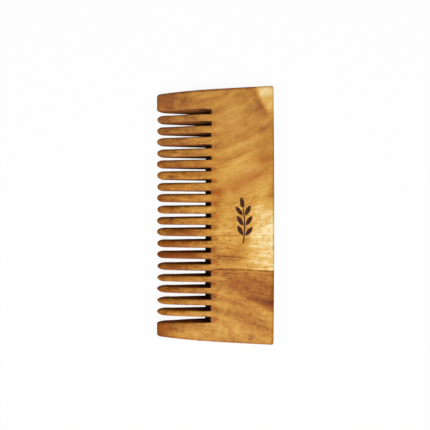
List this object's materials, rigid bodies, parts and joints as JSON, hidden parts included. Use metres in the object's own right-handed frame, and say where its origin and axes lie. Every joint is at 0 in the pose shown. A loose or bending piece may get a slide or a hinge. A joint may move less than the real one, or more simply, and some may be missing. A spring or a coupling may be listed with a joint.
{
  "type": "wide tooth comb",
  "caption": "One-piece wooden wide tooth comb: a straight-spined flat back, blunt tapered teeth between two wide guard teeth, and a small burnt leaf sprig on the back.",
  "frame": {"origin": "bottom centre of the bounding box, on the face that the comb lies on", "axes": "+X from the tooth tips to the spine edge, +Y along the comb's length, +Z out of the front face that carries the burnt mark"},
  "size_m": [0.0688, 0.15, 0.009],
  "materials": {
    "board_wood": "golden brown figured hardwood, sanded smooth and oiled to a low gloss, darker at the tooth tips and scorched inside the saw cuts",
    "burnt_wood": "dark brown charred wood, matt and slightly rough"
  },
  "bodies": {
    "root": {"comb_board": "board_wood", "burnt_mark": "burnt_wood"}
  },
  "joints": []
}
